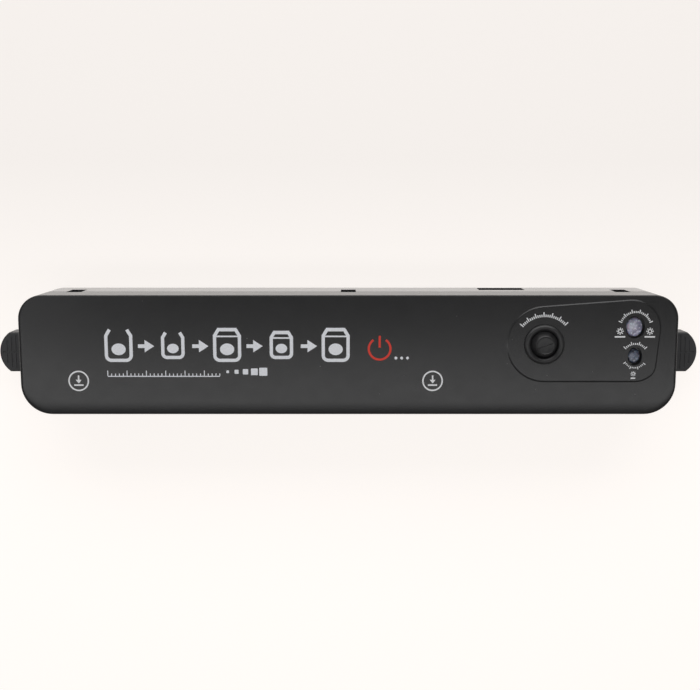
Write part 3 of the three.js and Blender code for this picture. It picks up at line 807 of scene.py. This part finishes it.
def make_base():
    base = base_body()
    under_deck = DECK_BOTTOM + 0.1
    inside_rear = HALF_DEPTH - WALL + 0.1
    tub = fillet_layers(rim_outline, TUB_BOTTOM, 0.8, upwards=False, steps=3)
    tub.append((rim_outline(0), DECK_TOP))
    tower = [(tower_outline(0), DECK_BOTTOM)]
    tower += fillet_layers(tower_outline, TOWER_TOP, 0.6, upwards=True)
    bed, slot = HEATER_BED_HALF, HEATER_SLOT_HALF
    added = [
        loft("tub", tub),
        loft("tower", tower),
        block("heater_bed", -bed, bed, HEATER_FRONT - 0.8, HEATER_REAR + 0.8, 19, DECK_TOP),
    ]
    for side in (-1, 1):
        x0, x1 = sorted((side * slot, side * bed))
        added.append(block("spring_stop", x0, x1, HEATER_REAR, 1, 11, under_deck))
    for screw in COVER_SCREWS:
        added.append(pillar("post", node_centre(screw), 3.2, 4.6, under_deck, steps=32))
    for x in HINGE_XS:
        outer, inner = CHEEK_HALF, POCKET_HALF - 0.1
        for x0, x1 in ((x - outer, x - inner), (x + inner, x + outer)):
            added.append(block("cheek", x0, x1, 22.4, inside_rear, 16, under_deck))
        x0, x1 = x - outer, x + outer
        added.append(block("pocket_floor", x0, x1, 22.2, inside_rear, POCKET_FLOOR, HINGE.z - 5))
    # The motor fills the room beside the right pocket, so only the other two get an inner wall
    for x in HINGE_XS[:2]:
        x0, x1 = x - CHEEK_HALF, x + CHEEK_HALF
        added.append(block("pocket_wall", x0, x1, 20.9, 22.3, POCKET_FLOOR, under_deck))
    join(base, *added)
    tub = fillet_layers(lambda inset: chamber_outline(-inset), TUB_FLOOR, 1.5, upwards=False)
    tub.append((chamber_outline(0), DECK_TOP + 2))
    tower = [(tower_outline(WALL), z) for z in (DECK_BOTTOM - 3, TOWER_TOP - WALL)]
    removed = [
        loft("tub_core", tub),
        gasket_groove(DECK_BOTTOM - 1.3, PARTING + 1),
        block("heater_slot", -slot, slot, HEATER_FRONT, HEATER_REAR, 21, PARTING),
        loft("tower_core", tower),
        pillar("hole", VACUUM, 4.5, 40, 46, radius_y=5.3),
        pillar("hole", SEAL, 3.35, 40, 46, radius_y=4.1),
        rod_x("duct", 115, 123, 6, 19.6, 1.8),
    ]
    for side in (-1, 1):
        removed.append(ear_window(side))
        x0, x1 = sorted(side * x for x in HOOK_SLOT)
        removed.append(block("hook_slot", x0, x1, -6.6, 2.6, DECK_BOTTOM - 1, PARTING + 1))
        x0, x1 = side * 145 - 1.5, side * 145 + 1.5
        removed.append(block("wire_hole", x0, x1, -25, -22, 18, 22))
    outside = HALF_DEPTH + 1
    for x in HINGE_XS:
        x0, x1 = x - POCKET_HALF, x + POCKET_HALF
        removed.append(block("pocket", x0, x1, 22.1, outside, HINGE.z - 5, PARTING + 1))
        removed.append(rod_x("pin_hole", x - 8, x + 8, HINGE.y, HINGE.z, PIN_HOLE))
    low, high = node_box("mains_inlet")
    x0, x1 = low.x - 0.3, high.x + 0.3
    removed.append(block("window", x0, x1, 28, outside, INLET_WINDOW_LOW, high.z + 0.3))
    removed.append(pillar("plunger_hole", node_centre("lid_plunger"), 1.9, 21.8, PARTING))
    cut(base, *removed, *pilots(COVER_SCREWS, 2, 14))
    finish_piece(base, "base", "case_black", "base_housing", sharp=25)


def make_cover():
    """The bottom cover: posts under the board, vents under the motor, and sunk screw holes."""

    def outline(inset):
        return case_outline(WALL + 0.3 + inset)

    layers = fillet_layers(outline, 2.3, 0.4, upwards=False, steps=3)
    layers += fillet_layers(outline, 4.3, 0.3, upwards=True, steps=3)
    cover = loft("cover_plate", layers)
    places = [(-95, -6), (-95, 20), (45, -6), (45, 20)]
    posts = [pillar("post", Vector((x, y, 0)), 2.2, 4.2, 5.7, steps=24) for x, y in places]
    join(cover, *posts)
    removed = []
    vent_count, vent_pitch, vent_width = 7, 5, 2.4
    for i in range(vent_count):
        x = 122 + vent_pitch * i
        slot = rounded(x, x + vent_width, -10, 8, 1.15, steps=6)
        removed.append(loft("vent", [(slot, 1), (slot, 5.3)]))
    for screw in COVER_SCREWS:
        middle = node_centre(screw)
        removed.append(pillar("hole", middle, 1.6, 1, 6, steps=32))
        removed.append(pillar("sink", middle, 3.1, 1, 3.5))
    cut(cover, *removed)
    finish_piece(cover, "base", "case_black", "bottom_cover")


def make_feet():
    """Round feet with a hollow underside."""
    profile = [(0, 0.5), (3.0, 0.5), (3.3, 0.35), (3.5, 0.05), (3.8, 0), (4.7, 0), (5.2, 0.15)]
    profile += [(5.5, 0.6), (5.5, 1.95), (0, 1.95)]
    for corner in ("front_left", "front_right", "rear_left", "rear_right"):
        foot = turned(f"foot_{corner}_pad", profile, node_centre(f"foot_{corner}"))
        finish_piece(foot, "base", "rubber", f"foot_{corner}")


def make_screws():
    """Cross-recess screws with low domed heads, driven in from below."""
    for names, body in ((COVER_SCREWS, "base"), (BOSS_SCREWS, "lid")):
        for name in names:
            low, high = node_box(name)
            middle = (low + high) / 2
            head = high.x - middle.x
            z = low.z
            depth = 1.1 if body == "lid" else 0.9
            shank = 1.2
            profile = [(0, z), (0.55 * head, z + 0.02), (0.85 * head, z + 0.2), (head, z + 0.5)]
            profile += [(head, z + depth), (shank, z + depth), (shank, high.z - 0.8)]
            profile += [(0.5, high.z), (0, high.z)]
            screw = turned(f"{name}_body", profile, middle, steps=48)
            slots = []
            for dx, dy in ((1.4, 0.3), (0.3, 1.4)):
                x0, x1, y0, y1 = middle.x - dx, middle.x + dx, middle.y - dy, middle.y + dy
                slots.append(block("slot", x0, x1, y0, y1, z - 1, z + 0.75))
            cut(screw, join(*slots))
            finish_piece(screw, body, "steel", name)


def make_inlet():
    """The mains socket: a block behind the wall, its mouth, and two contact pins."""
    low, high = node_box("mains_inlet")
    left, right = node_centre("inlet_pin_left"), node_centre("inlet_pin_right")
    rear = HALF_DEPTH - WALL - 0.3
    inlet = join(
        block("inlet_socket", low.x, high.x, low.y, rear, low.z, high.z, edge=0.5),
        block("neck", low.x, high.x, 28, high.y, INLET_NECK_LOW, high.z, edge=0.4),
    )
    y0, y1 = node_box("inlet_pin_left")[0].y - 0.3, 33
    lobe, waist = 3.75, 2.9
    holes = [rod_y("lobe", y0, y1, pin.x, pin.z, lobe, steps=48) for pin in (left, right)]
    holes.append(block("waist", left.x, right.x, y0, y1, left.z - waist, left.z + waist))
    cut(inlet, *holes)
    finish_piece(inlet, "base", "dark_part", "mains_inlet")
    for side, pin in (("left", left), ("right", right)):
        y0, y1 = (corner.y for corner in node_box(f"inlet_pin_{side}"))
        length = y1 - y0
        profile = [(0, 0), (1.2, 0), (1.2, length - 0.7), (0.9, length - 0.15), (0, length)]
        rod = turned(f"contact_{side}", profile, Vector(), steps=32)
        laid(rod, "Y", pin.x, y0, pin.z)
        finish_piece(rod, "base", "steel", f"inlet_pin_{side}")


# Seals and heater

def make_seals():
    """The foam rings and pad, and the heater's layers."""
    near, far = 1.3, 4.7
    for name, body in (("lower_gasket", "base"), ("upper_gasket", "lid")):
        low, high = (corner.z for corner in node_box(name))
        section = rounded(near, far, low, high, 0.7, steps=4)
        seal = ring_sweep(f"{name}_foam", chamber_outline, section)
        finish_piece(seal, body, "gasket", name)
    for node, name, body, slot, edge in (
        ("sealing_pad", "pad_foam", "lid", "gasket", 0.9),
        ("heater_bar", "heater_carrier", "base", "pale_part", 0.4),
        ("heater_strip", "heater_ribbon", "base", "steel", 0.12),
        ("ptfe_tape", "tape_cover", "base", "tape", 0.12),
    ):
        finish_piece(node_block(name, node, edge), body, slot, node)


# Release ears

def ear_outline(side, inset):
    """A round tab with two short flats. The inner end, inside the case, is square."""
    radius, half, inner = EAR_RADIUS - inset, EAR_HALF_WIDTH - inset, EAR_INNER_END + inset
    angle = math.atan2(half, math.sqrt(radius ** 2 - half ** 2))
    points = [(inner, EAR_CENTRE_Y + half), (inner, EAR_CENTRE_Y - half)]
    points += arc(EAR_CENTRE_X, EAR_CENTRE_Y, radius, -angle, angle, 40)
    if side < 0:
        points = [(-x, y) for x, y in reversed(points)]
    return points


def make_ear(side, name, body):
    """A release ear: its ribbed cap, the flange that holds it in, and its hook."""

    def shape(inset):
        return ear_outline(side, inset)

    def slab(label, near, far, half, z0, z1, edge=0.0):
        x0, x1 = sorted((side * near, side * far))
        return block(label, x0, x1, EAR_CENTRE_Y - half, EAR_CENTRE_Y + half, z0, z1, edge)

    low, high = EAR_LOW, EAR_HIGH
    layers = fillet_layers(shape, low, 0.9, upwards=False)
    layers += fillet_layers(shape, high, 0.9, upwards=True)
    ear = loft(f"{name}_cap", layers)

    join(
        ear,
        slab("flange", 163.4, 165.6, 12.6, low, high - 0.2, edge=0.3),
        slab("post", 160.6, 162.6, 4, high - 1, 31),
        slab("nose", 162.5, 163.2, 4, 29, 31),
    )
    grooves = []
    groove_count, groove_pitch, groove_width, longest = 6, 2.4, 0.9, 9.2
    for i in range(groove_count):
        x = 171.4 + groove_pitch * i
        half = math.sqrt(max(1, (EAR_RADIUS - 2) ** 2 - (x - EAR_CENTRE_X) ** 2)) - 1.2
        half = min(half, longest)
        grooves.append(slab("groove", x, x + groove_width, half, high - 0.3, high + 1, edge=0.2))
    grooves.append(slab("cross_groove", 170.6, 186.6, 0.45, high - 0.3, high + 1, edge=0.15))
    cut(ear, *grooves)
    finish_piece(ear, body, "ear_black", name)


# Valve and buttons

def make_valve():
    """The trim ring, the conical knob with its slanting notch, and the disc below."""
    low = node_box("valve_ring")[0].z
    section = [
        (7.3, 0), (10.3, 0), (10.35, 0.25), (10.15, 0.6), (9.8, 0.9), (9.3, 1.18), (8.9, 1.28),
        (8.3, 1.2), (7.7, 0.95), (7.3, 0.6), (7.15, 0.3), (7.15, 0.1),
    ]
    profile = [(radius, low + rise) for radius, rise in section]
    ring = turned("valve_trim", profile, VALVE, steps=96)
    finish_piece(ring, "lid", "rubber", "valve_ring", look="valve_trim", sharp=50)
    profile = [
        (0, 27.2), (2.4, 27.2), (2.4, 43.5), (7.3, 43.7), (7.6, 44.0), (7.6, 46.7), (7.4, 46.95),
        (7.0, 47.1), (6.8, 47.4), (6.55, 48.0), (6.2, 48.8), (5.8, 49.6), (5.35, 50.4),
        (5.0, 50.95), (4.7, 51.25), (4.45, 51.36), (4.2, 51.2), (3.6, 51.12), (1.6, 51.05),
        (0, 51.05),
    ]
    knob = turned("valve_knob_body", profile, VALVE, steps=96)
    notch = block("notch", -4.1, 4.1, -0.3, 0.3, 50.6, 53, edge=0.1)
    turn = math.radians(20)
    for vertex in notch.data.vertices:
        x, y, z = vertex.co / MM
        across = x * math.cos(turn) - y * math.sin(turn) + VALVE.x - 0.2
        along = x * math.sin(turn) + y * math.cos(turn) + VALVE.y - 0.3
        vertex.co = Vector((across, along, z)) * MM
    cut(knob, notch)
    finish_piece(knob, "valve", "rubber", "valve_knob", look="valve_trim", sharp=50)
    low, high = (corner.z for corner in node_box("valve_seal"))
    profile = [(0, low), (3.9, low), (4.3, low + 0.2), (4.4, low + 0.6), (4.3, low + 1.1)]
    profile += [(3.6, high), (0, high)]
    seal = turned("valve_disc", profile, VALVE)
    finish_piece(seal, "valve", "gasket", "valve_seal")


def make_button(name, centre, radius_x, radius_y, slot, body):
    """A domed oval lens on a wider skirt."""
    low, skirt_top, high = 40.8, 42.1, 45.4
    dome = (
        (0, 0.75), (0.06, 0.5), (0.2, 0.3), (0.45, 0.14), (0.9, 0.06), (1.7, 0.02), (2.6, 0.0),
    )

    def outline(inset):
        return oval(centre.x, centre.y, radius_x - inset, radius_y - inset)

    layers = [(outline(-1), low), (outline(-1), skirt_top), (outline(0), skirt_top + 0.01)]
    layers += [(outline(inset), high - drop) for inset, drop in dome]
    button = loft(f"{name}_lens", layers)
    finish_piece(button, body, slot, name, sharp=60)


def coil(name, start, end, radius, wire):
    """A coil spring from start to end, its end turns set closer."""
    turns, steps, sides = 4, 24, 8
    axis = (end - start).normalized()
    first = axis.orthogonal().normalized()
    second = axis.cross(first)
    free = (end - start).length - 2 * wire
    count = turns * steps
    bm = bmesh.new()
    rings = []
    for i in range(count + 1):
        part = i / count
        angle = TAU * i / steps
        outwards = first * math.cos(angle) + second * math.sin(angle)
        along = wire + free * (0.6 * part + 0.4 * part * part * (3 - 2 * part))
        middle = start + axis * along + outwards * radius
        ring = []
        for k in range(sides):
            turn = TAU * k / sides
            spoke = outwards * math.cos(turn) + axis * math.sin(turn)
            ring.append(bm.verts.new((middle + spoke * wire) * MM))
        rings.append(ring)
    return capped(name, bm, rings)


def make_spring(node, axis, radius, wire):
    """A spring between two bodies, along axis from the still one, made as a fixed coil."""
    low, high = node_box(node)
    middle = (low + high) / 2
    reach = Vector(axis) * abs((high - low).dot(Vector(axis))) / 2
    start, end = middle - reach, middle + reach
    spring = coil(f"{node}_coil", start, end, radius, wire)
    spring.data.materials.append(MATERIALS["steel"])
    spring.data.shade_smooth()
    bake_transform(spring)
    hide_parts(node)


# Printed marks: generic pictograms and ticks, made as thin flat pieces on the lid

class Print:
    """Collects flat shapes of one ink into one mesh."""

    def __init__(self, name, height):
        self.name, self.height = name, height
        self.bm = bmesh.new()
        self.shapes = 0

    def levels(self):
        """The next shape's lower and upper heights. Shapes that overlap never share a surface."""
        self.shapes += 1
        return self.height, self.height + PRINT_THICKNESS + PRINT_STEP * (self.shapes % 5)

    def fill(self, outline):
        """A closed flat shape with a thickness."""
        low, high = (vertex_ring(self.bm, outline, z) for z in self.levels())
        self.bm.faces.new(low[::-1])
        self.bm.faces.new(high)
        skin(self.bm, [low, high])

    def stroke(self, points, width, closed=False):
        """A line of even width along the points."""
        half = width / 2
        count = len(points)
        sides = []
        for i, (x, y) in enumerate(points):
            before = points[i - 1] if closed or i else points[i]
            after = points[(i + 1) % count] if closed or i < count - 1 else points[i]
            first = Vector((x - before[0], y - before[1]))
            second = Vector((after[0] - x, after[1] - y))
            first = first.normalized() if first.length > 0 else second.normalized()
            second = second.normalized() if second.length > 0 else first
            along = (first + second).normalized()
            reach = half / max(0.4, along.dot(first))
            left = (x - along.y * reach, y + along.x * reach)
            right = (x + along.y * reach, y - along.x * reach)
            sides.append((left, right))
        low, high = ([vertex_ring(self.bm, pair, z) for pair in sides] for z in self.levels())
        last = count if closed else count - 1
        for i in range(last):
            j = (i + 1) % count
            self.bm.faces.new((high[i][0], high[i][1], high[j][1], high[j][0]))
            self.bm.faces.new((low[i][0], low[j][0], low[j][1], low[i][1]))
            for k in (0, 1):
                self.bm.faces.new((low[i][k], low[j][k], high[j][k], high[i][k]))
        if not closed:
            for i in (0, count - 1):
                self.bm.faces.new((low[i][0], low[i][1], high[i][1], high[i][0]))

    def ring(self, x, y, radius, width):
        self.stroke(oval(x, y, radius), width, closed=True)

    def dot(self, x, y, radius):
        self.fill(oval(x, y, radius, steps=24))

    def tick(self, x, y, angle, inner, outer, width):
        """A radial line about (x, y)."""
        along = Vector((math.cos(angle), math.sin(angle)))
        ends = [(x + along.x * reach, y + along.y * reach) for reach in (inner, outer)]
        self.stroke(ends, width)

    def finish(self, look):
        finish_piece(solid(self.name, self.bm), "lid", "pale_part", look=look)


def bag(ink_print, x, y, size, sealed):
    """A bag's outline, open at the top or with a seam, and its contents."""
    half = 0.40 * size
    neck = 0.7 * half
    top = y + 0.5 * size
    low = y - 0.5 * size
    shoulder = top - 0.2 * size
    seam = top - 0.22 * size
    corner = 0.16 * size
    body = [(x - neck, top), (x - half, shoulder)]
    body += arc(x - half + corner, low + corner, corner, math.pi, 1.5 * math.pi, 6)
    body += arc(x + half - corner, low + corner, corner, -math.pi / 2, 0, 6)
    body += [(x + half, shoulder), (x + neck, top)]
    ink_print.stroke(body, 1.7)
    if sealed:
        ink_print.stroke([(x - neck - 0.5, top), (x + neck + 0.5, top)], 1.8)
        ink_print.stroke([(x - half + 0.3, seam), (x + half - 0.3, seam)], 0.8)
    ink_print.fill(oval(x, y - 0.14 * size, 0.23 * size, 0.19 * size, steps=28))


def arrow(ink_print, x, y, length, width):
    """A plain arrow that points right."""
    tip = x + length
    back = tip - 2.6 * width
    half = 1.7 * width
    ink_print.stroke([(x, y), (tip - 2.2 * width, y)], width)
    ink_print.fill([(back, y - half), (tip, y), (back, y + half)])


def press_mark(ink_print, x, y):
    """A ring round an arrow that presses down on a bar."""
    ink_print.ring(x, y, 5.0, 0.75)
    ink_print.stroke([(x, y + 2.9), (x, y + 0.3)], 0.8)
    ink_print.fill([(x - 1.5, y + 0.6), (x, y - 1.3), (x + 1.5, y + 0.6)])
    ink_print.stroke([(x - 2.4, y - 2.2), (x + 2.4, y - 2.2)], 0.8)


def sun(ink_print, x, y, radius):
    """A lamp symbol: a ring with short rays."""
    ink_print.ring(x, y, 0.48 * radius, 0.26 * radius)
    for i in range(8):
        ink_print.tick(x, y, TAU * i / 8, 0.7 * radius, radius, 0.3 * radius)


def scale_arc(ink_print, centre, radius, start, end, count, height, width):
    """A graduated arc whose every fourth tick is longer."""
    for i in range(count + 1):
        angle = math.radians(start + (end - start) * i / count)
        reach = height if i % 4 == 0 else 0.55 * height
        inner = radius - height / 2
        ink_print.tick(centre.x, centre.y, angle, inner, inner + reach, width)


def make_face_prints():
    silver, pale, red = (Print(f"prints_{name}", FACE) for name in ("silver", "pale", "red"))
    for i in range(5):
        x = -118.5 + 28 * i
        bag(silver, x, 5.4, 16 if i % 2 == 0 else 13, sealed=i > 1)
        if i < 4:
            arrow(silver, x + 10.0, 4.8, 8.4, 1.9)
    red.stroke(arc(16.2, 3.4, 5.6, math.radians(125), math.radians(415), 40), 1.15)
    red.stroke([(16.2, 4.0), (16.2, 10.2)], 1.15)
    for x in (24.6, 27.6, 30.6):
        silver.dot(x, -1.4, 0.75)
    silver.stroke([(-124.5, -11), (-66.5, -11)], 0.5)
    for i in range(30):
        x = -124.5 + 2 * i
        silver.stroke([(x, -10.8), (x, -8.0 if i % 5 == 0 else -9.5)], 0.45)
    for i in range(5):
        half = 0.7 + 0.35 * i
        x = -62.4 + 4.6 * i
        silver.fill(rounded(x - half, x + half, -8.6 - half, -8.6 + half, 0.3, steps=3))
    press_mark(pale, -139.7, -13.4)
    press_mark(pale, 43.7, -13.4)
    for ink_print, name in ((silver, "silver_ink"), (pale, "pale_ink"), (red, "red_ink")):
        ink_print.finish(name)


def make_control_prints():
    marks = Print("prints_controls", PLATEAU_TOP)
    scale_arc(marks, VALVE, 15.4, 140, 44, 24, 2.4, 0.55)
    scale_arc(marks, VACUUM, 8.4, 160, 20, 20, 1.9, 0.5)
    scale_arc(marks, SEAL, 7.0, 140, 40, 12, 1.8, 0.5)
    scale_arc(marks, SEAL, 6.2, 212, 322, 12, 1.4, 0.45)
    for x in (139.9, 155.2):
        sun(marks, x, 12.6, 1.85)
        marks.stroke([(x - 2.7, 9.7), (x + 2.7, 9.7)], 0.75)
    sun(marks, 147.4, -9.6, 1.35)
    marks.stroke([(146.2, -11.9), (148.6, -11.9)], 0.7)
    marks.finish("pale_ink")


def carry_over():
    """The frame's own nodes that stay get a material each."""
    slots = {part["node"]: part["material_slot"] for part in frame["record"]["subparts"]}
    for name, node in frame["nodes"].items():
        node.data.materials.clear()
        node.data.materials.append(MATERIALS[slots[name]])


make_camera()
make_stage()
carry_over()
make_lid()
make_lid_plate()
make_base()
make_cover()
make_feet()
make_screws()
make_inlet()
make_seals()
make_ear(-1, "left_release_ear", "left_ear")
make_ear(1, "right_release_ear", "right_ear")
make_valve()
make_button("vacuum_button", VACUUM, 4.3, 5.1, "lens_violet", "vacuum_key")
make_button("seal_button", SEAL, 3.15, 3.85, "lens_blue", "seal_key")
make_spring("left_ear_spring", (-1, 0, 0), 3.0, 0.32)
make_spring("right_ear_spring", (1, 0, 0), 3.0, 0.32)
make_spring("valve_spring", (0, 0, 1), 4.2, 0.4)
make_face_prints()
make_control_prints()
